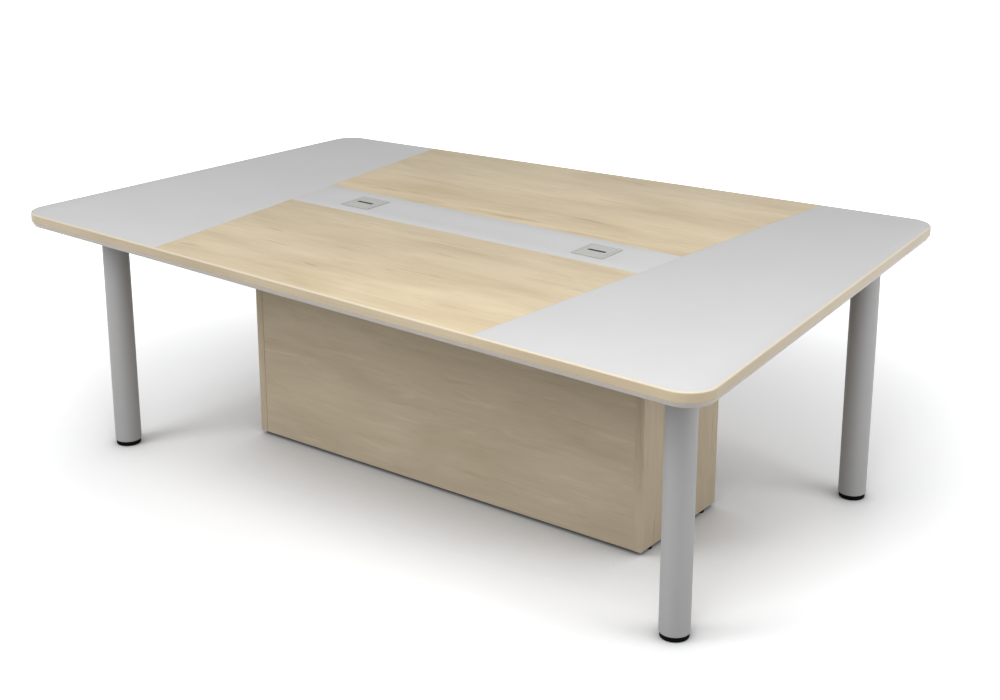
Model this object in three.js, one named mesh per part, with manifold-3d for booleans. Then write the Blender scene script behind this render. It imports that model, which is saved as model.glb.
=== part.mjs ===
// A conference table: a five-panel top on a bevelled carrier board, two cable ports,
// four round legs with levelling feet and a hollow pedestal that takes the cables down.
// Millimetres, +Z up. The floor is z = 0, and the origin is under the middle of the top's box.

import * as THREE from 'three';
import { mergeVertices } from 'three/addons/utils/BufferGeometryUtils.js';
import Module from 'manifold-3d';

const wasm = await Module();
wasm.setup();

// Top: distances of its four edges from the middle of the legs, and their slants in degrees
const TABLE_HEIGHT = 750;
const TOP_FRONT = 725;
const TOP_REAR = 720;
const TOP_LEFT = 1096;
const TOP_RIGHT = 1113;
const FRONT_SLANT = 2;
const REAR_SLANT = 5.1;
const END_SLANT = 5.1;
const CORNER_RADIUS = 75;

// Panels, the banding round them and the carrier board under them
const PANEL_THICKNESS = 25;
const BAND_THICKNESS = 5;
const BAND_ARRIS = 4;
const SEAM_DISTANCE = 622;
const SEAM_SLANT = 5.1;
const STRIP_WIDTH = 196;
const STRIP_OFFSET = -13;
const PANEL_GAP = 0.4;
const CARRIER_THICKNESS = 14;
const CARRIER_INSET = 1;
const CARRIER_BEVEL = 7;

// Cable ports: a flanged frame, a lid with a cable slot, and the pin that the lid turns on
const PORT_SPACING = 824;
const PORT_SIZE = 104;
const PORT_CORNER = 5;
const FLANGE_THICKNESS = 2;
const FLANGE_OVERLAP = 6;
const COLLAR_DROP = 4;
const LID_SIZE = 84;
const LID_THICKNESS = 6;
const LID_LEDGE = 4;
const LID_CLEARANCE = 0.4;
const SLOT_LENGTH = 58;
const SLOT_WIDTH = 12;
const PIN_DIAMETER = 2.4;
const PIN_BITE = 4;

// Legs
const LEG_SPAN_X = 1950;
const LEG_SPAN_Y = 978;
const LEG_DIAMETER = 78;
const LEG_WALL = 2;
const LEG_END_ROUND = 1.5;
const LEG_PLATE_DIAMETER = 130;
const LEG_PLATE_THICKNESS = 6;
const SPIGOT_LENGTH = 40;
const SPIGOT_WALL = 4;
const PLUG_LENGTH = 50;
const FOOT_DIAMETER = 73;
const FOOT_HEIGHT = 14;
const FOOT_ROUND = 2;
const STEM_DIAMETER = 10;
const STEM_LENGTH = 42;

// Pedestal
const PEDESTAL_LENGTH = 1390;
const PEDESTAL_WIDTH = 390;
const PEDESTAL_RAISE = 11;
const END_BOARD = 25;
const SIDE_BOARD = 18;
const SIDE_SETBACK = 1;
const INNER_BOARD = 18;
const RAIL_WIDTH = 60;
const FLOOR_RAISE = 40;
const CABLE_HOLE_LENGTH = 160;
const CABLE_HOLE_WIDTH = 90;
const GLIDE_SETBACK = 58;
const GLIDE_DIAMETER = 20;
const GLIDE_ROUND = 1.5;
const GLIDE_STEM_DIAMETER = 8;
const GLIDE_STEM_LENGTH = 30;
const INSERT_DIAMETER = 12;
const INSERT_LENGTH = 36;

// Clearance of every sliding, pressed or glued fit
const FIT = 0.3;

// Facets of the round forms
const CORNER_FACETS = 8;
const ARRIS_FACETS = 3;
const LEG_FACETS = 32;
const PLUG_FACETS = 24;
const SMALL_FACETS = 16;
const ROUND_FACETS = 2;

const radians = THREE.MathUtils.degToRad;

// Heights and places that follow from the sizes
const panelBottom = TABLE_HEIGHT - PANEL_THICKNESS;
const carrierBottom = panelBottom - CARRIER_THICKNESS;
const tubeTop = carrierBottom - LEG_PLATE_THICKNESS;
const tubeBore = LEG_DIAMETER / 2 - LEG_WALL;
const topMiddle = (TOP_RIGHT - TOP_LEFT) / 2;
const portHole = PORT_SIZE - 2 * FLANGE_OVERLAP;
const reach = 2 * (TOP_LEFT + TOP_RIGHT + TOP_FRONT + TOP_REAR);
const through = 2 * TABLE_HEIGHT;
const sides = { left: -1, right: 1 };
const rows = { front: -1, rear: 1 };

const finishes = {
  greyLaminate: { color: 0xd8d8d6, roughness: 0.45, metalness: 0 },
  woodLaminate: { color: 0xd9c6a4, roughness: 0.5, metalness: 0 },
  woodBand: { color: 0xd2bf9c, roughness: 0.45, metalness: 0 },
  greyCarrier: { color: 0xb9b6b2, roughness: 0.55, metalness: 0 },
  greyPlastic: { color: 0xc9c9c6, roughness: 0.5, metalness: 0 },
  silverPaint: { color: 0xa6a7a8, roughness: 0.4, metalness: 0.3 },
  blackPlastic: { color: 0x141414, roughness: 0.6, metalness: 0 },
  bareSteel: { color: 0xb4b6b8, roughness: 0.35, metalness: 1 },
};

const table = new THREE.Group();

function addPiece(name, geometry, finish, place = [0, 0, 0], parent = table) {
  const mesh = new THREE.Mesh(geometry, new THREE.MeshStandardMaterial(finishes[finish]));
  mesh.name = name;
  mesh.position.set(...place);
  parent.add(mesh);
  return mesh;
}

// A closed geometry as a solid that can be joined and cut
function solidOf(geometry) {
  const bare = geometry.clone();
  bare.deleteAttribute('normal');
  bare.deleteAttribute('uv');
  const merged = mergeVertices(bare);
  return new wasm.Manifold(new wasm.Mesh({
    numProp: 3,
    vertProperties: new Float32Array(merged.attributes.position.array),
    triVerts: new Uint32Array(merged.index.array),
  }));
}

function geometryOf(solid) {
  const mesh = solid.getMesh();
  const geometry = new THREE.BufferGeometry();
  geometry.setAttribute('position', new THREE.Float32BufferAttribute(mesh.vertProperties, 3));
  geometry.setIndex(new THREE.Uint32BufferAttribute(mesh.triVerts, 1));
  geometry.computeVertexNormals();
  return geometry;
}

function boxBetween(low, high) {
  const size = high.map((value, axis) => value - low[axis]);
  const middle = high.map((value, axis) => (value + low[axis]) / 2);
  return new THREE.BoxGeometry(...size).translate(...middle);
}

function prism(shape, bottom, top) {
  const options = { depth: top - bottom, bevelEnabled: false, curveSegments: CORNER_FACETS };
  return new THREE.ExtrudeGeometry(shape, options).translate(0, 0, bottom);
}

function polygon(points) {
  return new THREE.Shape(points.map(([x, y]) => new THREE.Vector2(x, y)));
}

function roundedSquare(size, radius) {
  const half = size / 2;
  const core = half - radius;
  const shape = new THREE.Shape();
  shape.absarc(core, core, radius, 0, Math.PI / 2, false);
  shape.absarc(-core, core, radius, Math.PI / 2, Math.PI, false);
  shape.absarc(-core, -core, radius, Math.PI, 1.5 * Math.PI, false);
  shape.absarc(core, -core, radius, 1.5 * Math.PI, 2 * Math.PI, false);
  shape.closePath();
  return shape;
}

function lathe(points, facets) {
  const profile = points.map(([radius, z]) => new THREE.Vector2(radius, z));
  return new THREE.LatheGeometry(profile, facets).rotateX(Math.PI / 2);
}

// Quarter-round points from one angle to another, for a lathe profile
function arcPoints(centre, radius, from, to) {
  const points = [];
  for (let step = 0; step <= ROUND_FACETS; step += 1) {
    const angle = radians(from + ((to - from) * step) / ROUND_FACETS);
    points.push([centre[0] + radius * Math.cos(angle), centre[1] + radius * Math.sin(angle)]);
  }
  return points;
}

// Outline of the top. Edges run anticlockwise, each given by a point on it and its heading.
const topEdges = [
  { x: 0, y: -TOP_FRONT, heading: radians(-FRONT_SLANT) },
  { x: TOP_RIGHT, y: 0, heading: radians(90 + END_SLANT) },
  { x: 0, y: TOP_REAR, heading: radians(180 + REAR_SLANT) },
  { x: -TOP_LEFT, y: 0, heading: radians(270 - END_SLANT) },
];

function insetEdge(edge, inset) {
  const direction = new THREE.Vector2(Math.cos(edge.heading), Math.sin(edge.heading));
  const point = new THREE.Vector2(edge.x - direction.y * inset, edge.y + direction.x * inset);
  return { point, direction };
}

function crossing(first, second) {
  const between = second.point.clone().sub(first.point);
  const along = between.cross(second.direction) / first.direction.cross(second.direction);
  return first.point.clone().addScaledVector(first.direction, along);
}

const cornerCentres = topEdges.map((edge, index) => {
  const before = topEdges[(index + topEdges.length - 1) % topEdges.length];
  return crossing(insetEdge(before, CORNER_RADIUS), insetEdge(edge, CORNER_RADIUS));
});

function topOutline(inset) {
  const shape = new THREE.Shape();
  topEdges.forEach((edge, index) => {
    const before = topEdges[(index + topEdges.length - 1) % topEdges.length];
    const { x, y } = cornerCentres[index];
    const start = before.heading - Math.PI / 2;
    const end = edge.heading - Math.PI / 2;
    shape.absarc(x, y, CORNER_RADIUS - inset, start, end, false);
  });
  shape.closePath();
  return shape;
}

// Plan areas of the five panels, kept apart by the panel gap
function seamX(side, y, offset = 0) {
  return side * (SEAM_DISTANCE + Math.tan(radians(SEAM_SLANT)) * y + offset);
}

function endArea(side) {
  const offset = PANEL_GAP / 2;
  return polygon([
    [seamX(side, -reach, offset), -reach],
    [side * reach, -reach],
    [side * reach, reach],
    [seamX(side, reach, offset), reach],
  ]);
}

function middleArea(front, rear) {
  const offset = -PANEL_GAP / 2;
  return polygon([
    [seamX(-1, front, offset), front],
    [seamX(1, front, offset), front],
    [seamX(1, rear, offset), rear],
    [seamX(-1, rear, offset), rear],
  ]);
}

const stripFront = STRIP_OFFSET - STRIP_WIDTH / 2;
const stripRear = STRIP_OFFSET + STRIP_WIDTH / 2;
const areas = {
  left: endArea(-1),
  right: endArea(1),
  front: middleArea(-TOP_FRONT - TOP_REAR, stripFront - PANEL_GAP / 2),
  rear: middleArea(stripRear + PANEL_GAP / 2, TOP_FRONT + TOP_REAR),
  strip: middleArea(stripFront + PANEL_GAP / 2, stripRear - PANEL_GAP / 2),
};

const portPlaces = Object.entries(sides).map(([side, sign]) => ({
  side,
  x: topMiddle + (sign * PORT_SPACING) / 2,
  y: STRIP_OFFSET,
}));

function cutPortHoles(solid) {
  const half = portHole / 2 + FIT;
  return portPlaces.reduce((left, { x, y }) => {
    const hole = boxBetween([x - half, y - half, 0], [x + half, y + half, through]);
    return left.subtract(solidOf(hole));
  }, solid);
}

function addTop() {
  const core = solidOf(prism(topOutline(BAND_THICKNESS + FIT), panelBottom, TABLE_HEIGHT));
  const areaSolid = (name) => solidOf(prism(areas[name], 0, through));
  const panel = (name) => core.intersect(areaSolid(name));

  Object.keys(sides).forEach((side) => {
    addPiece(`end_panel_${side}`, geometryOf(panel(side)), 'greyLaminate');
  });
  Object.keys(rows).forEach((row) => {
    addPiece(`wood_panel_${row}`, geometryOf(panel(row)), 'woodLaminate');
  });
  addPiece('centre_strip', geometryOf(cutPortHoles(panel('strip'))), 'greyLaminate');

  // Banding with a rounded upper arris, cut at the seams into two end bows and two straight runs
  const blank = new THREE.ExtrudeGeometry(topOutline(BAND_ARRIS), {
    depth: PANEL_THICKNESS,
    bevelThickness: BAND_ARRIS,
    bevelSize: BAND_ARRIS,
    bevelSegments: ARRIS_FACETS,
    curveSegments: CORNER_FACETS,
  }).translate(0, 0, panelBottom - BAND_ARRIS);
  const inside = prism(topOutline(BAND_THICKNESS), 0, through);
  const above = boxBetween([-reach, -reach, panelBottom], [reach, reach, through]);
  const ring = solidOf(blank).intersect(solidOf(above)).subtract(solidOf(inside));
  [...Object.keys(sides), ...Object.keys(rows)].forEach((name) => {
    addPiece(`edge_band_${name}`, geometryOf(ring.intersect(areaSolid(name))), 'woodBand');
  });
}

function addCarrier() {
  const blank = new THREE.ExtrudeGeometry(topOutline(CARRIER_INSET + CARRIER_BEVEL), {
    depth: CARRIER_THICKNESS,
    bevelThickness: CARRIER_THICKNESS,
    bevelSize: CARRIER_BEVEL,
    bevelSegments: 1,
    curveSegments: CORNER_FACETS,
  }).translate(0, 0, panelBottom);
  const below = boxBetween([-reach, -reach, 0], [reach, reach, panelBottom]);
  const board = solidOf(blank).intersect(solidOf(below));
  addPiece('carrier_board', geometryOf(cutPortHoles(board)), 'greyCarrier');
}

// One cable port, in a group whose origin is on the top's surface at the port's middle
function addPort({ side, x, y }) {
  const port = new THREE.Group();
  port.position.set(x, y, TABLE_HEIGHT);
  table.add(port);

  const lidTop = FLANGE_THICKNESS;
  const lidBottom = lidTop - LID_THICKNESS;
  const nose = LID_THICKNESS / 2;
  const pinY = LID_SIZE / 2 - nose;
  const pinZ = lidTop - nose;
  const recess = LID_SIZE / 2 + LID_CLEARANCE;
  const opening = LID_SIZE / 2 - LID_LEDGE;
  const collarBottom = carrierBottom - COLLAR_DROP - TABLE_HEIGHT;
  const pinHalf = LID_SIZE / 2 + PIN_BITE;
  const pinRod = (radius, half) => {
    const rod = new THREE.CylinderGeometry(radius, radius, 2 * half, SMALL_FACETS);
    return rod.rotateZ(Math.PI / 2).translate(0, pinY, pinZ);
  };

  const flange = solidOf(prism(roundedSquare(PORT_SIZE, PORT_CORNER), 0, lidTop));
  const collarHalf = portHole / 2;
  const collar = solidOf(boxBetween(
    [-collarHalf, -collarHalf, collarBottom],
    [collarHalf, collarHalf, lidTop],
  ));
  const lidRoom = solidOf(boxBetween(
    [-recess, -recess, lidBottom - FIT],
    [recess, recess, through],
  ));
  const bore = solidOf(boxBetween([-opening, -opening, -through], [opening, opening, through]));
  const pinRoom = solidOf(pinRod(PIN_DIAMETER / 2 + FIT, pinHalf + FIT));
  const frame = flange.add(collar).subtract(lidRoom).subtract(bore).subtract(pinRoom);
  addPiece(`port_frame_${side}`, geometryOf(frame), 'greyPlastic', [0, 0, 0], port);

  // The lid's rear edge is a round nose about the pin, so it turns up inside its recess
  const section = new THREE.Shape();
  section.moveTo(-LID_SIZE / 2, lidBottom);
  section.lineTo(pinY, lidBottom);
  section.absarc(pinY, pinZ, nose, -Math.PI / 2, Math.PI / 2, false);
  section.lineTo(-LID_SIZE / 2, lidTop);
  section.closePath();
  const plate = new THREE.ExtrudeGeometry(section, {
    depth: LID_SIZE,
    bevelEnabled: false,
    curveSegments: CORNER_FACETS,
  });
  plate.rotateY(Math.PI / 2).rotateX(Math.PI / 2).translate(-LID_SIZE / 2, 0, 0);
  const slot = boxBetween(
    [-SLOT_LENGTH / 2, -SLOT_WIDTH / 2, -through],
    [SLOT_LENGTH / 2, SLOT_WIDTH / 2, through],
  );
  const lid = solidOf(plate).subtract(solidOf(slot)).subtract(pinRoom);
  addPiece(`port_lid_${side}`, geometryOf(lid), 'greyPlastic', [0, 0, 0], port);
  addPiece(`port_pin_${side}`, pinRod(PIN_DIAMETER / 2, pinHalf), 'bareSteel', [0, 0, 0], port);
}

// One leg, in a group whose origin is on the floor under the leg's axis
function addLeg(row, side) {
  const leg = new THREE.Group();
  leg.position.set((sides[side] * LEG_SPAN_X) / 2, (rows[row] * LEG_SPAN_Y) / 2, 0);
  table.add(leg);
  const suffix = `${row}_${side}`;
  const outer = LEG_DIAMETER / 2;
  const spigot = tubeBore - FIT;

  const tube = lathe([
    [tubeBore, FOOT_HEIGHT],
    ...arcPoints([outer - LEG_END_ROUND, FOOT_HEIGHT + LEG_END_ROUND], LEG_END_ROUND, -90, 0),
    [outer, tubeTop],
    [tubeBore, tubeTop],
    [tubeBore, FOOT_HEIGHT],
  ], LEG_FACETS);
  addPiece(`leg_tube_${suffix}`, tube, 'silverPaint', [0, 0, 0], leg);

  const plate = lathe([
    [0, tubeTop],
    [spigot - SPIGOT_WALL, tubeTop],
    [spigot - SPIGOT_WALL, tubeTop - SPIGOT_LENGTH],
    [spigot, tubeTop - SPIGOT_LENGTH],
    [spigot, tubeTop],
    [LEG_PLATE_DIAMETER / 2, tubeTop],
    [LEG_PLATE_DIAMETER / 2, carrierBottom],
    [0, carrierBottom],
  ], LEG_FACETS);
  addPiece(`leg_plate_${suffix}`, plate, 'silverPaint', [0, 0, 0], leg);

  const stemRoom = STEM_DIAMETER / 2 + FIT;
  const plug = lathe([
    [stemRoom, FOOT_HEIGHT],
    [spigot, FOOT_HEIGHT],
    [spigot, FOOT_HEIGHT + PLUG_LENGTH],
    [stemRoom, FOOT_HEIGHT + PLUG_LENGTH],
    [stemRoom, FOOT_HEIGHT],
  ], PLUG_FACETS);
  addPiece(`leg_plug_${suffix}`, plug, 'blackPlastic', [0, 0, 0], leg);

  const foot = footGeometry(
    FOOT_DIAMETER,
    FOOT_HEIGHT,
    FOOT_ROUND,
    STEM_DIAMETER,
    STEM_LENGTH,
    LEG_FACETS,
  );
  addPiece(`leg_foot_${suffix}`, foot, 'blackPlastic', [0, 0, 0], leg);
}

// A levelling foot: a pad that stands on the floor and the threaded stem on top of it
function footGeometry(diameter, height, round, stemDiameter, stemLength, facets) {
  const radius = diameter / 2;
  return lathe([
    [0, 0],
    ...arcPoints([radius - round, round], round, -90, 0),
    [radius, height],
    [stemDiameter / 2, height],
    [stemDiameter / 2, height + stemLength],
    [0, height + stemLength],
  ], facets);
}

function addPedestal() {
  const halfLength = PEDESTAL_LENGTH / 2;
  const halfWidth = PEDESTAL_WIDTH / 2;
  const innerLength = halfLength - END_BOARD - FIT;
  const sideFace = halfWidth - SIDE_SETBACK;
  const innerWidth = sideFace - SIDE_BOARD - FIT;
  const boardTop = carrierBottom - FIT;
  const glideX = halfLength - END_BOARD / 2;
  const glideY = halfWidth - GLIDE_SETBACK;
  const insertRoom = INSERT_DIAMETER / 2 + FIT;
  const insertTop = PEDESTAL_RAISE + INSERT_LENGTH;

  Object.entries(sides).forEach(([side, sign]) => {
    const inner = sign * (halfLength - END_BOARD);
    const outer = sign * halfLength;
    const board = solidOf(boxBetween(
      [Math.min(inner, outer), -halfWidth, PEDESTAL_RAISE],
      [Math.max(inner, outer), halfWidth, boardTop],
    ));
    const drilled = Object.values(rows).reduce((left, row) => {
      const depth = insertTop + FIT;
      const drill = new THREE.CylinderGeometry(insertRoom, insertRoom, 2 * depth, SMALL_FACETS);
      drill.rotateX(Math.PI / 2).translate(sign * glideX, row * glideY, 0);
      return left.subtract(solidOf(drill));
    }, board);
    addPiece(`pedestal_end_${side}`, geometryOf(drilled), 'woodLaminate');
  });

  Object.entries(rows).forEach(([row, sign]) => {
    const face = sign * sideFace;
    const back = sign * (sideFace - SIDE_BOARD);
    addPiece(`pedestal_panel_${row}`, boxBetween(
      [-innerLength, Math.min(face, back), PEDESTAL_RAISE],
      [innerLength, Math.max(face, back), boardTop],
    ), 'woodLaminate');

    const railOuter = sign * innerWidth;
    const railInner = sign * (innerWidth - RAIL_WIDTH);
    addPiece(`pedestal_rail_${row}`, boxBetween(
      [-innerLength, Math.min(railOuter, railInner), boardTop - INNER_BOARD],
      [innerLength, Math.max(railOuter, railInner), boardTop],
    ), 'woodLaminate');
  });

  const floorBottom = PEDESTAL_RAISE + FLOOR_RAISE;
  const floorTop = floorBottom + INNER_BOARD;
  const floorBoard = solidOf(boxBetween(
    [-innerLength, -innerWidth, floorBottom],
    [innerLength, innerWidth, floorTop],
  ));
  const holed = portPlaces.reduce((left, { x, y }) => left.subtract(solidOf(boxBetween(
    [x - CABLE_HOLE_LENGTH / 2, y - CABLE_HOLE_WIDTH / 2, 0],
    [x + CABLE_HOLE_LENGTH / 2, y + CABLE_HOLE_WIDTH / 2, through],
  ))), floorBoard);
  addPiece('pedestal_floor', geometryOf(holed), 'woodLaminate');
  addPiece('pedestal_divider', boxBetween(
    [-INNER_BOARD / 2, -innerWidth, floorTop + FIT],
    [INNER_BOARD / 2, innerWidth, boardTop - INNER_BOARD - FIT],
  ), 'woodLaminate');

  Object.keys(rows).forEach((row) => {
    Object.keys(sides).forEach((side) => {
      const place = [sides[side] * glideX, rows[row] * glideY, 0];
      const stemRoom = GLIDE_STEM_DIAMETER / 2 + FIT;
      const insert = lathe([
        [stemRoom, PEDESTAL_RAISE],
        [INSERT_DIAMETER / 2, PEDESTAL_RAISE],
        [INSERT_DIAMETER / 2, insertTop],
        [stemRoom, insertTop],
        [stemRoom, PEDESTAL_RAISE],
      ], SMALL_FACETS);
      addPiece(`pedestal_insert_${row}_${side}`, insert, 'bareSteel', place);
      const glide = footGeometry(
        GLIDE_DIAMETER,
        PEDESTAL_RAISE,
        GLIDE_ROUND,
        GLIDE_STEM_DIAMETER,
        GLIDE_STEM_LENGTH,
        SMALL_FACETS,
      );
      addPiece(`pedestal_glide_${row}_${side}`, glide, 'blackPlastic', place);
    });
  });
}

addTop();
addCarrier();
portPlaces.forEach(addPort);
Object.keys(rows).forEach((row) => Object.keys(sides).forEach((side) => addLeg(row, side)));
addPedestal();

// The outline's box is centred on the origin: its corners' arcs reach furthest on each side
const [leftFront, rightFront, rightRear] = cornerCentres;
table.position.set(-(leftFront.x + rightFront.x) / 2, -(rightFront.y + rightRear.y) / 2, 0);

export default table;
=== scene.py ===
"""A conference table: a wood and grey top, cable ports, round legs and a hollow wood pedestal.

Metres, +Z up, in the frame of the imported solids.
"""

from math import cos, pi, radians, sin

import bmesh
import bpy
from mathutils import Matrix, Vector
from mathutils.geometry import intersect_line_line_2d


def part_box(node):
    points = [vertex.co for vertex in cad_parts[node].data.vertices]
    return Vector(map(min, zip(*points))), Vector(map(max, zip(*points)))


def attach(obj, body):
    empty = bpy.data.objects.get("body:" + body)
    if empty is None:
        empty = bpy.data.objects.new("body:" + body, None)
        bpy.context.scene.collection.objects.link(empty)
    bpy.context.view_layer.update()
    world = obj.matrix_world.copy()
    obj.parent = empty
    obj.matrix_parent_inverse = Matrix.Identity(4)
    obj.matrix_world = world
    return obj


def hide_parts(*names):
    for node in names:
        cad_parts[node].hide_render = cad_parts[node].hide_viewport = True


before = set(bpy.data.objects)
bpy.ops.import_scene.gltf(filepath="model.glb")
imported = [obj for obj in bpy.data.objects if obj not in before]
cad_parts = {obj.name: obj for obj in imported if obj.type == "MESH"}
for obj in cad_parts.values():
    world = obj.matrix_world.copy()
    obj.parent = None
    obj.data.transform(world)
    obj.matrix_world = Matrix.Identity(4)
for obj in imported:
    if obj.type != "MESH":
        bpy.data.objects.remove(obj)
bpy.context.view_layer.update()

SIDES = {"left": -1, "right": 1}
ROWS = {"front": -1, "rear": 1}
LEGS = [(row, side) for row in ROWS for side in SIDES]

# Distances below which points count as one, or as lying on a cut
MERGE = 1e-6
SAME_PLACE = 1e-5
ON_CUT = 1e-7

# Faces count as level above the one share of up in their normals, and as upright below the other
LEVEL = 0.9
UPRIGHT = 0.1

# Angles from which an edge is sharp, for a bevel and for the shading
SHARP = radians(30)
CREASE = radians(35)

# Outline of the top: its edges' distances from the middle of the legs, and their slants
TOP_FRONT = 0.725
TOP_REAR = 0.720
TOP_LEFT = 1.096
TOP_RIGHT = 1.113
FRONT_SLANT = radians(2)
REAR_SLANT = radians(5.1)
END_SLANT = radians(5.1)
CORNER_RADIUS = 0.075
CORNER_STEPS = 24

# Half the length of the lines that stand for the edges where they are crossed
FAR = 10

# Sections of the banding, the panels and the carrier board
BAND_THICKNESS = 0.005
BAND_ARRIS = 0.004
PANEL_INSET = 0.0053
PANEL_ARRIS = 0.0005
SEAM_DISTANCE = 0.622
SEAM_SLANT = radians(5.1)
HALF_GAP = 0.0002
CARRIER_INSET = 0.001
CARRIER_BEVEL = 0.007
CARRIER_ARRIS = 0.0012
PORT_HOLE_FIT = 0.0003

# Cable ports
PORT_CORNER = 0.005
PORT_ARRIS = 0.0012
FLANGE_THICKNESS = 0.002
FLANGE_OVERLAP = 0.006
LID_CLEARANCE = 0.0004
LID_LEDGE = 0.004
LID_EDGE_TRIM = 0.0008
LID_SEAT_FIT = 0.0003
SLOT_LENGTH = 0.058
SLOT_WIDTH = 0.012
SLOT_CORNER = 0.003
SLOT_ARRIS = 0.0004

# Legs, feet and glides
LEG_STEPS = 96
SMALL_STEPS = 48
LEG_WALL = 0.002
LEG_END_ROUND = 0.0015
SPIGOT_GAP = 0.0003
SPIGOT_WALL = 0.004
LEG_PLATE_THICKNESS = 0.006
PLATE_ARRIS = 0.001
FOOT_ROUND = 0.002
FOOT_SHOULDER = 0.0008
LEG_STEM_RADIUS = 0.005
GLIDE_ROUND = 0.0015
GLIDE_STEM_RADIUS = 0.004
THREAD_PITCH = 0.0015
THREAD_DEPTH = 0.0007
SCREW_RING = 0.053
SCREW_RADIUS = 0.0045
SCREW_RISE = 0.0022
SCREW_SOCKET = 0.0022
SCREW_SOCKET_DEPTH = 0.0012
SCREW_STEPS = 24

# Points on a screw's dome, as shares of its radius and of its rise
SCREW_DOME = ((0.9, 0.5), (0.6, 0.9))

# Boards of the pedestal
BOARD_ARRIS = 0.0008

# Camera: the picture in pixels, the angles in degrees and the sensor in millimetres
PICTURE_WIDTH = 1000
FOCAL_PIXELS = 1663.5
AXIS_RISE_PIXELS = 99.8
CAMERA_PLACE = (2.7614, -3.6187, 2.0479)
CAMERA_PITCH = 16.834
CAMERA_HEADING = 36.765
SENSOR_WIDTH = 36


# Geometry helpers

def finish_mesh(bm, name, material, body, slot, *nodes):
    """Makes a piece of a shape, on its body and in the place of the solids it stands for."""
    bmesh.ops.remove_doubles(bm, verts=bm.verts, dist=MERGE)
    bmesh.ops.recalc_face_normals(bm, faces=bm.faces)
    mesh = bpy.data.meshes.new(name)
    bm.to_mesh(mesh)
    bm.free()
    mesh.materials.append(material)
    mesh.shade_smooth()
    mesh.set_sharp_from_angle(angle=CREASE)
    piece = bpy.data.objects.new(name, mesh)
    bpy.context.scene.collection.objects.link(piece)
    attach(piece, body)
    if nodes:
        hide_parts(*nodes)
    return piece


def all_geometry(bm):
    return bm.verts[:] + bm.edges[:] + bm.faces[:]


def bevel(bm, edges, width, segments):
    bmesh.ops.bevel(
        bm,
        geom=edges,
        offset=width,
        offset_type="OFFSET",
        segments=segments,
        profile=0.5,
        affect="EDGES",
        material=-1,
    )


def cap_open_edges(bm):
    open_edges = [edge for edge in bm.edges if edge.is_boundary]
    bmesh.ops.holes_fill(bm, edges=open_edges)


def chain(bm, points, closed=False):
    verts = [bm.verts.new(point) for point in points]
    edges = [bm.edges.new(pair) for pair in zip(verts, verts[1:])]
    if closed:
        edges.append(bm.edges.new((verts[-1], verts[0])))
    return verts + edges


def turned(points, centre, steps):
    """A solid of revolution about a vertical line, from (radius, z) points."""
    bm = bmesh.new()
    x, y = centre
    section = chain(bm, [(x + radius, y, z) for radius, z in points])
    bmesh.ops.spin(
        bm,
        geom=section,
        cent=(x, y, 0),
        axis=(0, 0, 1),
        angle=2 * pi,
        steps=steps,
        use_merge=True,
    )
    bmesh.ops.remove_doubles(bm, verts=bm.verts, dist=MERGE)
    return bm


def rounded(centre, radius, start, end, steps=6):
    """Points of an arc in a section, between two angles in degrees."""
    angles = [start + (end - start) * step / steps for step in range(steps + 1)]
    return [
        (centre[0] + radius * cos(radians(a)), centre[1] + radius * sin(radians(a)))
        for a in angles
    ]


def board_between(low, high):
    bm = bmesh.new()
    size = high - low
    place = Matrix.Translation((low + high) / 2) @ Matrix.Diagonal((*size, 1))
    bmesh.ops.create_cube(bm, size=1, matrix=place)
    return bm


def level_edges(bm, z):
    """Sharp edges that lie at one height."""
    return [
        edge
        for edge in bm.edges
        if all(abs(vert.co.z - z) < SAME_PLACE for vert in edge.verts)
        and len(edge.link_faces) == 2
        and edge.calc_face_angle() > SHARP
    ]


def extent(edge, axis):
    return abs(edge.verts[0].co[axis] - edge.verts[1].co[axis])


def lies_out(edge, axis, middle, distance):
    """Whether an edge lies at a distance from a middle along an axis, to either side."""
    return all(abs(abs(vert.co[axis] - middle[axis]) - distance) < SAME_PLACE for vert in edge.verts)


def inside_plan(low, high):
    """A test of whether a point lies between two corners in plan."""
    def test(point):
        return all(low[axis] - SAME_PLACE < point[axis] < high[axis] + SAME_PLACE for axis in (0, 1))
    return test


def cut_square_hole(bm, low, high):
    """A hole straight down through a flat board, between two corners in plan."""
    for axis, place in ((0, low[0]), (0, high[0]), (1, low[1]), (1, high[1])):
        point = Vector((0, 0, 0))
        point[axis] = place
        normal = Vector((0, 0, 0))
        normal[axis] = 1
        bmesh.ops.bisect_plane(bm, geom=all_geometry(bm), plane_co=point, plane_no=normal, dist=ON_CUT)
    in_hole = inside_plan(low, high)
    cut_out = [
        face
        for face in bm.faces
        if abs(face.normal.z) > LEVEL and in_hole(face.calc_center_median())
    ]
    bmesh.ops.delete(bm, geom=cut_out, context="FACES")
    rim = [edge for edge in bm.edges if edge.is_boundary]
    bmesh.ops.bridge_loops(bm, edges=rim)


# Plan of the top, about the middle of the legs

def box_middle(low, high):
    return (low + high) / 2


def legs_middle():
    total = Vector((0, 0, 0))
    for row, side in LEGS:
        total += box_middle(*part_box(f"leg_tube_{row}_{side}"))
    return (total / len(LEGS)).to_2d()


MIDDLE = legs_middle()
TOP_EDGES = [
    (MIDDLE + Vector((0, -TOP_FRONT)), -FRONT_SLANT),
    (MIDDLE + Vector((TOP_RIGHT, 0)), pi / 2 + END_SLANT),
    (MIDDLE + Vector((0, TOP_REAR)), pi + REAR_SLANT),
    (MIDDLE + Vector((-TOP_LEFT, 0)), 3 * pi / 2 - END_SLANT),
]


def inset_line(edge, inset):
    point, heading = edge
    along = Vector((cos(heading), sin(heading)))
    inwards = Vector((-along.y, along.x))
    return point + inset * inwards - FAR * along, point + inset * inwards + FAR * along


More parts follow.
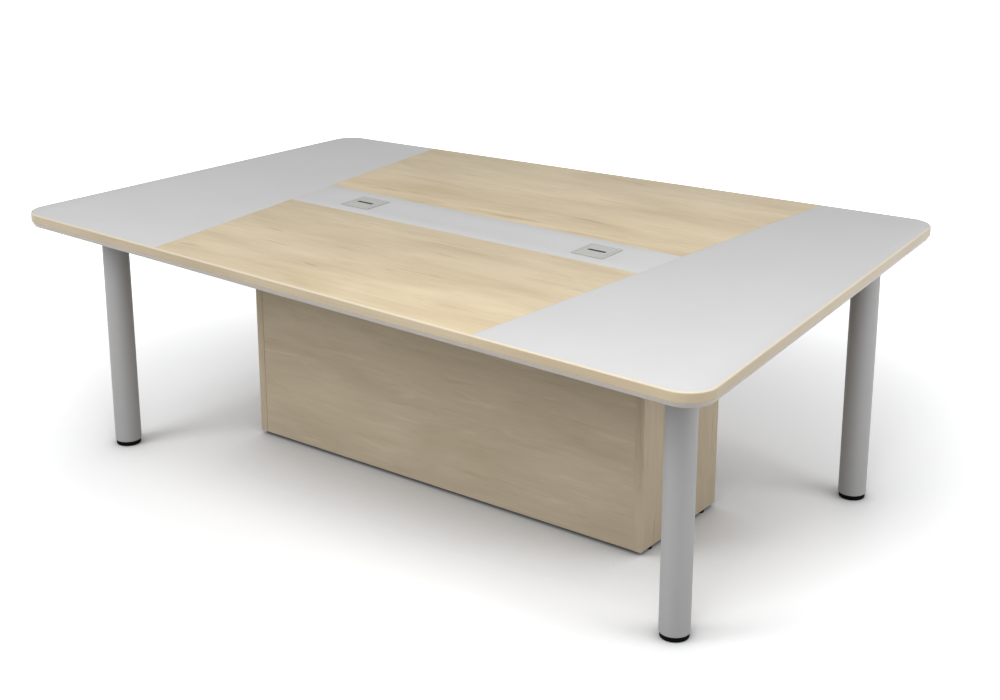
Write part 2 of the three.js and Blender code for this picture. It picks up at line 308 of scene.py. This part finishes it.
def corner_centre(index):
    """Middle of the arc between an edge and the one before it."""
    first = inset_line(TOP_EDGES[index - 1], CORNER_RADIUS)
    second = inset_line(TOP_EDGES[index], CORNER_RADIUS)
    return intersect_line_line_2d(*first, *second)


def sweep_round_top(section):
    """Carries a section of (inset, z) points once round the top's outline."""
    bm = bmesh.new()
    centres = [corner_centre(index) for index in range(len(TOP_EDGES))]
    start = TOP_EDGES[-1][1] - pi / 2 - 2 * pi
    points = []
    for inset, z in section:
        outwards = (CORNER_RADIUS - inset) * Vector((cos(start), sin(start)))
        points.append((centres[0] + outwards).to_3d() + Vector((0, 0, z)))
    swept = chain(bm, points, closed=len(section) > 2)
    for index, (_, heading) in enumerate(TOP_EDGES):
        before = TOP_EDGES[index - 1][1] - (2 * pi if index == 0 else 0)
        turn = bmesh.ops.spin(
            bm,
            geom=swept,
            cent=centres[index].to_3d(),
            axis=(0, 0, 1),
            angle=heading - before,
            steps=CORNER_STEPS,
        )
        last = [item for item in turn["geom_last"] if isinstance(item, bmesh.types.BMEdge)]
        run = bmesh.ops.extrude_edge_only(bm, edges=last)["geom"]
        moved = [item for item in run if isinstance(item, bmesh.types.BMVert)]
        onwards = centres[(index + 1) % len(centres)] - centres[index]
        bmesh.ops.translate(bm, verts=moved, vec=onwards.to_3d())
        swept = [item for item in run if not isinstance(item, bmesh.types.BMFace)]
    bmesh.ops.remove_doubles(bm, verts=bm.verts, dist=SAME_PLACE)
    return bm


def keep_beyond(bm, point, normal):
    """Cuts a closed shape by an upright plane and closes the cut."""
    bmesh.ops.bisect_plane(
        bm,
        geom=all_geometry(bm),
        plane_co=point.to_3d(),
        plane_no=normal.to_3d(),
        clear_inner=True,
        dist=ON_CUT,
    )
    cap_open_edges(bm)


def seam_cut(bm, side, outer):
    """Keeps the part outside a seam, or the part inside it."""
    sign = SIDES[side]
    offset = HALF_GAP if outer else -HALF_GAP
    point = MIDDLE + Vector((sign * (SEAM_DISTANCE + offset), 0))
    outwards = Vector((sign * cos(SEAM_SLANT), -sin(SEAM_SLANT)))
    keep_beyond(bm, point, outwards if outer else -outwards)


def top_piece(section, name):
    """The stretch of a swept section that belongs to a side, a row or the strip of the top."""
    bm = sweep_round_top(section)
    cap_open_edges(bm)
    if name in SIDES:
        seam_cut(bm, name, outer=True)
        return bm
    for side in SIDES:
        seam_cut(bm, side, outer=False)
    strip_low, strip_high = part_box("centre_strip")
    if name == "front":
        keep_beyond(bm, Vector((0, strip_low.y - 2 * HALF_GAP)), Vector((0, -1)))
    elif name == "rear":
        keep_beyond(bm, Vector((0, strip_high.y + 2 * HALF_GAP)), Vector((0, 1)))
    else:
        keep_beyond(bm, Vector((0, strip_low.y)), Vector((0, 1)))
        keep_beyond(bm, Vector((0, strip_high.y)), Vector((0, -1)))
    return bm


# Materials

def new_material(name):
    material = bpy.data.materials.new(name)
    material.use_nodes = True
    nodes = material.node_tree.nodes
    return material, nodes, material.node_tree.links, nodes["Principled BSDF"]


def object_noise(nodes, links, stretch, detail=3, roughness=0.5, distortion=0, seat=(0, 0, 0)):
    place = nodes.new("ShaderNodeTexCoord")
    mapping = nodes.new("ShaderNodeMapping")
    mapping.inputs["Location"].default_value = seat
    mapping.inputs["Scale"].default_value = stretch
    noise = nodes.new("ShaderNodeTexNoise")
    noise.inputs["Scale"].default_value = 1
    noise.inputs["Detail"].default_value = detail
    noise.inputs["Roughness"].default_value = roughness
    noise.inputs["Distortion"].default_value = distortion
    links.new(place.outputs["Object"], mapping.inputs["Vector"])
    links.new(mapping.outputs["Vector"], noise.inputs["Vector"])
    return noise.outputs["Fac"]


def ramp(nodes, links, source, *stops):
    node = nodes.new("ShaderNodeValToRGB")
    elements = node.color_ramp.elements
    while len(elements) < len(stops):
        elements.new(0.5)
    for element, (place, colour) in zip(elements, stops):
        element.position = place
        element.color = (*colour, 1)
    links.new(source, node.inputs["Fac"])
    return node.outputs["Color"]


def mixed(nodes, links, blend, amount, first, second):
    node = nodes.new("ShaderNodeMix")
    node.data_type = "RGBA"
    node.blend_type = blend
    node.inputs["Factor"].default_value = amount
    links.new(first, node.inputs["A"])
    links.new(second, node.inputs["B"])
    return node.outputs["Result"]


def fitted(nodes, links, source, low, high):
    node = nodes.new("ShaderNodeMapRange")
    node.inputs["To Min"].default_value = low
    node.inputs["To Max"].default_value = high
    links.new(source, node.inputs["Value"])
    return node.outputs["Result"]


def product(nodes, links, first, second):
    node = nodes.new("ShaderNodeMath")
    node.operation = "MULTIPLY"
    links.new(first, node.inputs[0])
    links.new(second, node.inputs[1])
    return node.outputs[0]


def bumped(nodes, links, shader, source, strength, distance):
    node = nodes.new("ShaderNodeBump")
    node.inputs["Strength"].default_value = strength
    node.inputs["Distance"].default_value = distance
    links.new(source, node.inputs["Height"])
    links.new(node.outputs["Normal"], shader.inputs["Normal"])


def grey(value):
    return (value, value, value)


# Noise scales of the wood's layers per metre, along and across the grain
CLOUDS = (2, 8)
FIGURE = (3.5, 60)
PORES = (22, 620)
DASHES = (4.5, 42)

# Noise scales of the banding along X, Y and Z, and of the slow mottle of the plain finishes
BAND_TONE = (1.5, 1.5, 4)
BAND_LINES = (5, 5, 420)
MOTTLE = 5

# How much of a dash's strength each of red, green and blue loses, which makes it brown
DASH_TINT = (0.85, 1, 1.2)


def wood_laminate(name, grain, light, dark, seat=(0, 0, 0), streak=0.2, fleck=0.03):
    """Light oak laminate: soft clouds, fine figure and pores, with a few darker and paler dashes."""
    material, nodes, links, shader = new_material(name)

    def grain_noise(scales, **noise):
        along, across = scales
        stretch = [along if axis == grain else across for axis in "XYZ"]
        return object_noise(nodes, links, stretch, seat=seat, **noise)

    clouds = grain_noise(CLOUDS, detail=4, roughness=0.55, distortion=0.5)
    figure = grain_noise(FIGURE, detail=5, roughness=0.6, distortion=0.6)
    pores = grain_noise(PORES, detail=2, roughness=0.5)
    dashes = grain_noise(DASHES, detail=2, roughness=0.45, distortion=0.9)
    middle = tuple((a + b) / 2 for a, b in zip(light, dark))
    base = ramp(nodes, links, clouds, (0.3, dark), (0.5, middle), (0.7, light))
    lines = ramp(nodes, links, figure, (0.3, grey(0.955)), (0.65, grey(1.02)))
    specks = ramp(nodes, links, pores, (0.36, grey(0.96)), (0.5, grey(1.0)))
    marks = ramp(
        nodes,
        links,
        dashes,
        (0.24, tuple(1 - streak * tint for tint in DASH_TINT)),
        (0.36, grey(1.0)),
        (0.62, grey(1.0)),
        (0.74, grey(1 + fleck)),
    )
    colour = base
    for layer in (lines, specks, marks):
        colour = mixed(nodes, links, "MULTIPLY", 1, colour, layer)
    links.new(colour, shader.inputs["Base Color"])
    links.new(fitted(nodes, links, pores, 0.6, 0.5), shader.inputs["Roughness"])
    shader.inputs["Specular IOR Level"].default_value = 0.2
    bumped(nodes, links, shader, pores, strength=0.08, distance=0.0004)
    return material


def edge_banding(name, light, dark, arris_highlight, arris_start):
    """Smooth banding with level grain lines, painted paler along its rounded upper arris as a painted
    highlight.
    """
    material, nodes, links, shader = new_material(name)
    tone = object_noise(nodes, links, BAND_TONE, detail=3, roughness=0.5)
    lines = object_noise(nodes, links, BAND_LINES, detail=4, roughness=0.6)
    base = ramp(nodes, links, tone, (0.3, dark), (0.62, light))
    threads = ramp(nodes, links, lines, (0.35, grey(0.95)), (0.6, grey(1.02)))
    face = mixed(nodes, links, "MULTIPLY", 1, base, threads)
    place = nodes.new("ShaderNodeTexCoord")
    axes = nodes.new("ShaderNodeSeparateXYZ")
    links.new(place.outputs["Object"], axes.inputs[0])
    height = nodes.new("ShaderNodeMapRange")
    height.inputs["From Min"].default_value = arris_start
    height.inputs["From Max"].default_value = arris_start + BAND_ARRIS / 2
    links.new(axes.outputs["Z"], height.inputs["Value"])
    # Above the start of the arris the colour turns paler: a painted highlight
    painted_highlight = nodes.new("ShaderNodeMix")
    painted_highlight.data_type = "RGBA"
    painted_highlight.inputs["B"].default_value = (*arris_highlight, 1)
    links.new(height.outputs["Result"], painted_highlight.inputs["Factor"])
    links.new(face, painted_highlight.inputs["A"])
    links.new(painted_highlight.outputs["Result"], shader.inputs["Base Color"])
    links.new(fitted(nodes, links, lines, 0.28, 0.36), shader.inputs["Roughness"])
    shader.inputs["Specular IOR Level"].default_value = 0.3
    bumped(nodes, links, shader, lines, strength=0.03, distance=0.0002)
    return material


def fine_grained(name, colour, spread, scale, rough, metallic=0.0, bump=0.05, specular=0.4):
    """A plain finish, speckled finely at a scale per metre, as on laminate, paint or plastic."""
    material, nodes, links, shader = new_material(name)
    speckle = object_noise(nodes, links, (scale,) * 3, detail=3, roughness=0.6)
    cloud = object_noise(nodes, links, (MOTTLE,) * 3, detail=2, roughness=0.5)
    darker = tuple(c * (1 - spread) for c in colour)
    lighter = tuple(min(1, c * (1 + spread)) for c in colour)
    base = ramp(nodes, links, speckle, (0.3, darker), (0.7, lighter))
    drift = ramp(nodes, links, cloud, (0.3, grey(0.985)), (0.7, grey(1.01)))
    colour = mixed(nodes, links, "MULTIPLY", 1, base, drift)
    links.new(colour, shader.inputs["Base Color"])
    links.new(fitted(nodes, links, speckle, rough - 0.05, rough + 0.05), shader.inputs["Roughness"])
    shader.inputs["Metallic"].default_value = metallic
    shader.inputs["Specular IOR Level"].default_value = specular
    bumped(nodes, links, shader, speckle, strength=bump, distance=0.0003)
    return material


OAK_LIGHT = (0.715, 0.603, 0.42)
OAK_DARK = (0.572, 0.46, 0.302)
# The pedestal's oak is the top's oak made a little paler and less yellow: painted light against the
# shade under the top
PEDESTAL_PAINTED_LIT_LIGHT = (0.718, 0.612, 0.452)
PEDESTAL_PAINTED_LIT_DARK = (0.608, 0.5, 0.356)
INNER_LIGHT = (0.6, 0.5, 0.36)
INNER_DARK = (0.5, 0.41, 0.29)
BAND_LIGHT = (0.585, 0.49, 0.34)
BAND_DARK = (0.478, 0.388, 0.26)
# Colour of the banding's rounded upper arris: a painted highlight
BAND_ARRIS_HIGHLIGHT = (0.7, 0.615, 0.475)
LAMINATE_GREY = (0.6, 0.6, 0.6)
CARRIER_GREY = (0.8, 0.735, 0.68)
PORT_GREY = (0.45, 0.455, 0.43)
# Near black for the ports' recesses, flange sides and slot walls: painted shade
PAINTED_SHADE_GREY = (0.06, 0.06, 0.054)
SILVER = (0.508, 0.508, 0.508)
BLACK = (0.003, 0.003, 0.003)
STEEL = (0.62, 0.63, 0.64)

# Where the noise of a board starts, so that boards of one finish don't repeat each other
PANEL_SEAT = (0.7, 0.3, 0.4)
END_SEAT = (0.2, 0.1, 0.6)

top_oak = wood_laminate("top oak laminate", "X", OAK_LIGHT, OAK_DARK)
# The pedestal's boards take the paler oak: painted light
panel_oak = wood_laminate(
    "pedestal panel oak", "X", PEDESTAL_PAINTED_LIT_LIGHT, PEDESTAL_PAINTED_LIT_DARK, PANEL_SEAT, streak=0.1, fleck=0.1
)
end_oak = wood_laminate("pedestal end oak", "Z", PEDESTAL_PAINTED_LIT_LIGHT, PEDESTAL_PAINTED_LIT_DARK, END_SEAT)
inner_oak = wood_laminate("inner board oak", "X", INNER_LIGHT, INNER_DARK)
arris_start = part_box("edge_band_front")[1].z - BAND_ARRIS
band_oak = edge_banding("edge banding oak", BAND_LIGHT, BAND_DARK, BAND_ARRIS_HIGHLIGHT, arris_start)
grey_laminate = fine_grained(
    "grey laminate", LAMINATE_GREY, spread=0.02, scale=900, rough=0.6, specular=0.2
)
grey_carrier = fine_grained("grey carrier facing", CARRIER_GREY, spread=0.03, scale=700, rough=0.5)
port_plastic = fine_grained(
    "grey port plastic", PORT_GREY, spread=0.04, scale=1400, rough=0.5, bump=0.12
)
# Painted shade for the ports' recesses, flange sides and slot walls
port_painted_shade = fine_grained(
    "port painted shade", PAINTED_SHADE_GREY, spread=0.1, scale=1500, rough=0.5, bump=0.1, specular=0.3
)
silver_paint = fine_grained(
    "silver powder coat", SILVER, spread=0.05, scale=2200, rough=0.5, bump=0.1, specular=0.25
)
black_plastic = fine_grained(
    "black plastic", BLACK, spread=0.2, scale=1500, rough=0.65, bump=0.15, specular=0.06
)
plated_steel = fine_grained(
    "plated steel", STEEL, spread=0.05, scale=900, rough=0.3, metallic=1.0
)


# The top

panel_low, panel_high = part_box("wood_panel_front")
carrier_low, carrier_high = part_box("carrier_board")


def port_hole(side):
    """Plan corners of the hole that a port's collar goes through."""
    low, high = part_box(f"port_frame_{side}")
    margin = Vector((1, 1, 0)) * (FLANGE_OVERLAP - PORT_HOLE_FIT)
    return low + margin, high - margin


def add_panels():
    section = [(PANEL_INSET, panel_low.z), (PANEL_INSET, panel_high.z)]
    panels = {
        "left": ("end_panel_left", grey_laminate, "grey_laminate"),
        "right": ("end_panel_right", grey_laminate, "grey_laminate"),
        "front": ("wood_panel_front", top_oak, "wood_laminate"),
        "rear": ("wood_panel_rear", top_oak, "wood_laminate"),
        "strip": ("centre_strip", grey_laminate, "grey_laminate"),
    }
    for name, (node, material, slot) in panels.items():
        bm = top_piece(section, name)
        if name == "strip":
            for side in SIDES:
                cut_square_hole(bm, *port_hole(side))
        bevel(bm, level_edges(bm, panel_high.z), PANEL_ARRIS, 2)
        finish_mesh(bm, f"{node}_board", material, "table", slot, node)


def add_bands():
    inner_top = panel_high.z
    arris = rounded((BAND_ARRIS, inner_top - BAND_ARRIS), BAND_ARRIS, 180, 90)
    section = [(BAND_THICKNESS, panel_low.z), (0, panel_low.z), *arris, (BAND_THICKNESS, inner_top)]
    for name in [*SIDES, *ROWS]:
        bm = top_piece(section, name)
        node = f"edge_band_{name}"
        finish_mesh(bm, f"{node}_lipping", band_oak, "table", "wood_band", node)


def add_carrier():
    section = [
        (CARRIER_INSET, carrier_high.z),
        (CARRIER_INSET + CARRIER_BEVEL, carrier_low.z),
    ]
    bm = sweep_round_top(section)
    cap_open_edges(bm)
    for side in SIDES:
        cut_square_hole(bm, *port_hole(side))
    bevel(bm, level_edges(bm, carrier_low.z), CARRIER_ARRIS, 3)
    finish_mesh(bm, "carrier_board_facing", grey_carrier, "table", "grey_carrier", "carrier_board")


# Cable ports

def add_port_frame(side):
    """A square ring with a flange on the strip, and a ledge inside for the lid."""
    frame_low, frame_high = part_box(f"port_frame_{side}")
    lid_low, lid_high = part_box(f"port_lid_{side}")
    middle = box_middle(frame_low, frame_high)
    flange = (frame_high.x - frame_low.x) / 2
    collar = flange - FLANGE_OVERLAP
    lid_half = (lid_high.x - lid_low.x) / 2
    recess = lid_half + LID_CLEARANCE
    bore = lid_half - LID_LEDGE
    seat = lid_low.z - LID_SEAT_FIT

    # Four turns of a section that stands on the diagonal make a square ring with mitred corners
    section = [
        (flange, panel_high.z),
        (flange, frame_high.z),
        (recess, frame_high.z),
        (recess, seat),
        (bore, seat),
        (bore, frame_low.z),
        (collar, frame_low.z),
        (collar, panel_high.z),
    ]
    bm = bmesh.new()
    ring = chain(bm, [(middle.x + r, middle.y + r, z) for r, z in section], closed=True)
    bmesh.ops.spin(
        bm, geom=ring, cent=middle, axis=(0, 0, 1), angle=2 * pi, steps=4, use_merge=True
    )
    bmesh.ops.remove_doubles(bm, verts=bm.verts, dist=MERGE)
    bmesh.ops.recalc_face_normals(bm, faces=bm.faces)
    corners = [
        edge
        for edge in bm.edges
        if extent(edge, 2) > FLANGE_THICKNESS / 2 and lies_out(edge, 0, middle, flange)
    ]
    bevel(bm, corners, PORT_CORNER, 8)
    bevel(bm, level_edges(bm, frame_high.z), PORT_ARRIS, 3)

    # Below its rounded rim the frame is painted near black: painted shade on the flange's side, in the
    # lid's recess and down the collar
    for face in bm.faces:
        face.material_index = int(face.calc_center_median().z < frame_high.z - PORT_ARRIS)
    node = f"port_frame_{side}"
    moulding = finish_mesh(bm, f"{node}_moulding", port_plastic, "table", "port_plastic", node)
    moulding.data.materials.append(port_painted_shade)


def add_port_lid(side):
    """A flap with a cable slot; its rear edge is a half-round nose about its pin."""
    lid_low, lid_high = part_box(f"port_lid_{side}")
    lid_half = (lid_high.x - lid_low.x) / 2
    front_trim = Vector((LID_EDGE_TRIM, LID_EDGE_TRIM, 0))
    side_trim = Vector((LID_EDGE_TRIM, 0, 0))
    bm = board_between(lid_low + front_trim, lid_high - side_trim)
    nose = [
        edge
        for edge in bm.edges
        if all(abs(vert.co.y - lid_high.y) < SAME_PLACE for vert in edge.verts)
        and extent(edge, 0) > lid_half
    ]
    bevel(bm, nose, (lid_high.z - lid_low.z) / 2 - SAME_PLACE, 8)
    slot_half = Vector((SLOT_LENGTH, SLOT_WIDTH, 0)) / 2
    lid_middle = box_middle(lid_low, lid_high)
    cut_square_hole(bm, lid_middle - slot_half, lid_middle + slot_half)
    slot_corners = [
        edge
        for edge in bm.edges
        if extent(edge, 2) > (lid_high.z - lid_low.z) / 2
        and lies_out(edge, 0, lid_middle, SLOT_LENGTH / 2)
        and lies_out(edge, 1, lid_middle, SLOT_WIDTH / 2)
    ]
    bevel(bm, slot_corners, SLOT_CORNER, 4)
    bmesh.ops.recalc_face_normals(bm, faces=bm.faces)
    in_slot = inside_plan(lid_middle - slot_half, lid_middle + slot_half)
    rim = level_edges(bm, lid_high.z)
    slot_rim = [edge for edge in rim if in_slot((edge.verts[0].co + edge.verts[1].co) / 2)]
    bevel(bm, [edge for edge in rim if edge not in slot_rim], PORT_ARRIS, 3)
    bevel(bm, slot_rim, SLOT_ARRIS, 2)

    # The slot's walls are painted near black: painted shade in the slot
    for face in bm.faces:
        face.material_index = int(abs(face.normal.z) < UPRIGHT and in_slot(face.calc_center_median()))
    node = f"port_lid_{side}"
    moulding = finish_mesh(bm, f"{node}_moulding", port_plastic, f"lid_{side}", "port_plastic", node)
    moulding.data.materials.append(port_painted_shade)


# Legs and levelling feet

def threaded_stem(radius, bottom, top):
    """Section of a stem with a rib for each turn of its thread, from bottom to top."""
    points = []
    z = bottom
    while z + THREAD_PITCH < top:
        points.append((radius - THREAD_DEPTH, z))
        points.append((radius, z + THREAD_PITCH / 2))
        z += THREAD_PITCH
    return [*points, (radius - THREAD_DEPTH, top), (0, top)]


def levelling_foot(node, body, stem_radius, pad_top, rounding, steps):
    """A round pad on the floor with a threaded stem."""
    low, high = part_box(node)
    middle = box_middle(low, high)
    radius = (high.x - low.x) / 2
    section = [
        (0, low.z),
        *rounded((radius - rounding, low.z + rounding), rounding, -90, 0),
        *rounded((radius - FOOT_SHOULDER, pad_top - FOOT_SHOULDER), FOOT_SHOULDER, 0, 90, 3),
        *threaded_stem(stem_radius, pad_top, high.z),
    ]
    bm = turned(section, middle.to_2d(), steps)
    finish_mesh(bm, f"{node}_turned", black_plastic, body, "black_plastic", node)


def add_screw(name, place):
    """A dome-headed screw with a round socket, driven in from below."""
    tip = place.z - SCREW_RISE
    section = [
        (0, place.z),
        (SCREW_RADIUS, place.z),
        *((SCREW_RADIUS * out, place.z - SCREW_RISE * down) for out, down in SCREW_DOME),
        (SCREW_SOCKET, tip),
        (SCREW_SOCKET, tip + SCREW_SOCKET_DEPTH),
        (0, tip + SCREW_SOCKET_DEPTH),
    ]
    bm = turned(section, place.to_2d(), SCREW_STEPS)
    finish_mesh(bm, name, plated_steel, "table", "bare_steel")


def add_leg(row, side):
    suffix = f"{row}_{side}"
    low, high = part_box(f"leg_tube_{suffix}")
    axis = box_middle(low, high).to_2d()
    outer = (high.x - low.x) / 2
    bore = outer - LEG_WALL
    tube = [
        (bore, low.z),
        *rounded((outer - LEG_END_ROUND, low.z + LEG_END_ROUND), LEG_END_ROUND, -90, 0),
        (outer, high.z),
        (bore, high.z),
        (bore, low.z),
    ]
    node = f"leg_tube_{suffix}"
    bm = turned(tube, axis, LEG_STEPS)
    finish_mesh(bm, f"{node}_pipe", silver_paint, "table", "silver_paint", node)

    node = f"leg_plate_{suffix}"
    plate_low, plate_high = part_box(node)
    plate_radius = (plate_high.x - plate_low.x) / 2
    spigot = bore - SPIGOT_GAP
    plate_bottom = plate_high.z - LEG_PLATE_THICKNESS
    plate = [
        (0, plate_bottom),
        (spigot - SPIGOT_WALL, plate_bottom),
        (spigot - SPIGOT_WALL, plate_low.z),
        (spigot, plate_low.z),
        (spigot, plate_bottom),
        *rounded((plate_radius - PLATE_ARRIS, plate_bottom + PLATE_ARRIS), PLATE_ARRIS, -90, 0, 3),
        (plate_radius, plate_high.z),
        (0, plate_high.z),
    ]
    bm = turned(plate, axis, LEG_STEPS)
    finish_mesh(bm, f"{node}_turned", silver_paint, "table", "silver_paint", node)
    for quarter in range(4):
        angle = pi / 4 + quarter * pi / 2
        place = axis + SCREW_RING * Vector((cos(angle), sin(angle)))
        add_screw(f"leg_screw_{suffix}_{quarter + 1}", place.to_3d() + Vector((0, 0, plate_bottom)))

    levelling_foot(f"leg_foot_{suffix}", f"foot_{suffix}", LEG_STEM_RADIUS, low.z, FOOT_ROUND, LEG_STEPS)


# Pedestal

def add_pedestal():
    boards = {f"pedestal_end_{side}": end_oak for side in SIDES}
    boards.update({f"pedestal_panel_{row}": panel_oak for row in ROWS})
    for node, oak in boards.items():
        bm = board_between(*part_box(node))
        bevel(bm, bm.edges[:], BOARD_ARRIS, 3)
        finish_mesh(bm, f"{node}_board", oak, "table", "pedestal_wood", node)
    pedestal_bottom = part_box("pedestal_end_left")[0].z
    for row, side in LEGS:
        node = f"pedestal_glide_{row}_{side}"
        body = f"glide_{row}_{side}"
        levelling_foot(node, body, GLIDE_STEM_RADIUS, pedestal_bottom, GLIDE_ROUND, SMALL_STEPS)


add_panels()
add_bands()
add_carrier()
for side in SIDES:
    add_port_frame(side)
    add_port_lid(side)
for row, side in LEGS:
    add_leg(row, side)
add_pedestal()

# Finishes of the solids that stay as they are
KEPT_SOLIDS = {
    "port_pin": plated_steel,
    "leg_plug": black_plastic,
    "pedestal_insert": plated_steel,
    "pedestal_rail": inner_oak,
    "pedestal_floor": inner_oak,
    "pedestal_divider": inner_oak,
}
for node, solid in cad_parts.items():
    for start, material in KEPT_SOLIDS.items():
        if node.startswith(start):
            solid.data.materials.clear()
            solid.data.materials.append(material)


# Stage, light and camera

# The camera sees the floor a little over white, so that the shadow fades out into white.
# For the light that falls on the table the floor stays dull.
FLOOR_HALF = 30
FLOOR_COLOUR = (0.2, 0.2, 0.2)
FLOOR_COLOUR_SEEN = (1.142, 1.15, 1.162)

# How far a piece darkens the floor's colour round it: painted contact shade
PAINTED_SHADE_REACH = 0.5

# The floor's own glow: its strength near the table, and the distances over which it grows to white
GLOW_NEAR = 0.04
GLOW_START = 1.0
GLOW_END = 3.2

# Strength of the world as a light
AMBIENT = 0.5


def seen_ray(nodes, links):
    """1 for rays that see the surroundings straight, in a gloss or through glass."""
    path = nodes.new("ShaderNodeLightPath")
    total = path.outputs["Is Camera Ray"]
    for name in ("Is Glossy Ray", "Is Transmission Ray"):
        most = nodes.new("ShaderNodeMath")
        most.operation = "MAXIMUM"
        links.new(total, most.inputs[0])
        links.new(path.outputs[name], most.inputs[1])
        total = most.outputs[0]
    return total


def white_floor():
    """Shaded where the table stands, with painted contact shade in its colour, and white away from it.
    """
    material = bpy.data.materials.new("white floor")
    material.use_nodes = True
    nodes = material.node_tree.nodes
    links = material.node_tree.links
    nodes.clear()
    seen = seen_ray(nodes, links)
    shade = nodes.new("ShaderNodeMix")
    shade.data_type = "RGBA"
    shade.inputs["A"].default_value = (*FLOOR_COLOUR, 1)
    shade.inputs["B"].default_value = (*FLOOR_COLOUR_SEEN, 1)
    links.new(seen, shade.inputs["Factor"])
    # Ambient occlusion darkens the floor's colour near the pieces: painted contact shade
    painted_contact_shade = nodes.new("ShaderNodeAmbientOcclusion")
    painted_contact_shade.inputs["Distance"].default_value = PAINTED_SHADE_REACH
    links.new(shade.outputs["Result"], painted_contact_shade.inputs["Color"])
    diffuse = nodes.new("ShaderNodeBsdfDiffuse")
    links.new(painted_contact_shade.outputs["Color"], diffuse.inputs["Color"])

    place = nodes.new("ShaderNodeTexCoord")
    length = nodes.new("ShaderNodeVectorMath")
    length.operation = "LENGTH"
    links.new(place.outputs["Object"], length.inputs[0])
    far = nodes.new("ShaderNodeMapRange")
    far.interpolation_type = "SMOOTHSTEP"
    far.inputs["From Min"].default_value = GLOW_START
    far.inputs["From Max"].default_value = GLOW_END
    far.inputs["To Min"].default_value = GLOW_NEAR
    links.new(length.outputs["Value"], far.inputs["Value"])
    glow = nodes.new("ShaderNodeEmission")
    links.new(product(nodes, links, far.outputs["Result"], seen), glow.inputs["Strength"])
    both = nodes.new("ShaderNodeAddShader")
    links.new(diffuse.outputs[0], both.inputs[0])
    links.new(glow.outputs[0], both.inputs[1])
    output = nodes.new("ShaderNodeOutputMaterial")
    links.new(both.outputs[0], output.inputs["Surface"])
    return material


def add_floor():
    bm = bmesh.new()
    bmesh.ops.create_grid(bm, x_segments=1, y_segments=1, size=FLOOR_HALF)
    mesh = bpy.data.meshes.new("floor")
    bm.to_mesh(mesh)
    bm.free()
    mesh.materials.append(white_floor())
    floor = bpy.data.objects.new("floor", mesh)
    bpy.context.scene.collection.objects.link(floor)


def add_world():
    world = bpy.data.worlds.new("studio")
    bpy.context.scene.world = world
    world.use_nodes = True
    nodes = world.node_tree.nodes
    links = world.node_tree.links
    background = nodes["Background"]
    background.inputs["Color"].default_value = (1, 1, 1, 1)
    level = nodes.new("ShaderNodeMapRange")
    level.inputs["To Min"].default_value = AMBIENT
    level.inputs["To Max"].default_value = 1.0
    links.new(seen_ray(nodes, links), level.inputs["Value"])
    links.new(level.outputs["Result"], background.inputs["Strength"])


def add_soft_lamp(name, place, target, size, watts):
    lamp = bpy.data.lights.new(name, "AREA")
    lamp.shape = "SQUARE"
    lamp.size = size
    lamp.energy = watts
    lamp_object = bpy.data.objects.new(name, lamp)
    lamp_object.location = place
    aim = Vector(target) - Vector(place)
    lamp_object.rotation_euler = aim.to_track_quat("-Z", "Y").to_euler()
    bpy.context.scene.collection.objects.link(lamp_object)


def add_camera():
    camera = bpy.data.cameras.new("camera")
    camera.sensor_width = SENSOR_WIDTH
    camera.lens = SENSOR_WIDTH * FOCAL_PIXELS / PICTURE_WIDTH
    camera.shift_y = -AXIS_RISE_PIXELS / PICTURE_WIDTH
    camera_object = bpy.data.objects.new("camera", camera)
    camera_object.location = CAMERA_PLACE
    camera_object.rotation_euler = (radians(90 - CAMERA_PITCH), 0, radians(CAMERA_HEADING))
    bpy.context.scene.collection.objects.link(camera_object)
    bpy.context.scene.camera = camera_object


add_floor()
add_world()
add_soft_lamp("softbox over the front edge", (1.1, -1.5, 2.2), (0.5, -0.4, 0.7), size=1.2, watts=15)
add_soft_lamp("softbox front left", (-2, -3.4, 2.6), (0, -0.2, 0.4), size=1.9, watts=60)
add_soft_lamp("softbox front right", (2, -3.2, 2.3), (0.2, -0.2, 0.4), size=1.6, watts=25)
add_soft_lamp("softbox right", (3.2, 0.6, 1.6), (0, 0, 0.4), size=1.8, watts=26)
add_soft_lamp("softbox behind", (-0.8, 3.6, 2.3), (0, 0.2, 0.4), size=1.8, watts=10)
add_camera()
bpy.context.scene.view_settings.view_transform = "Standard"
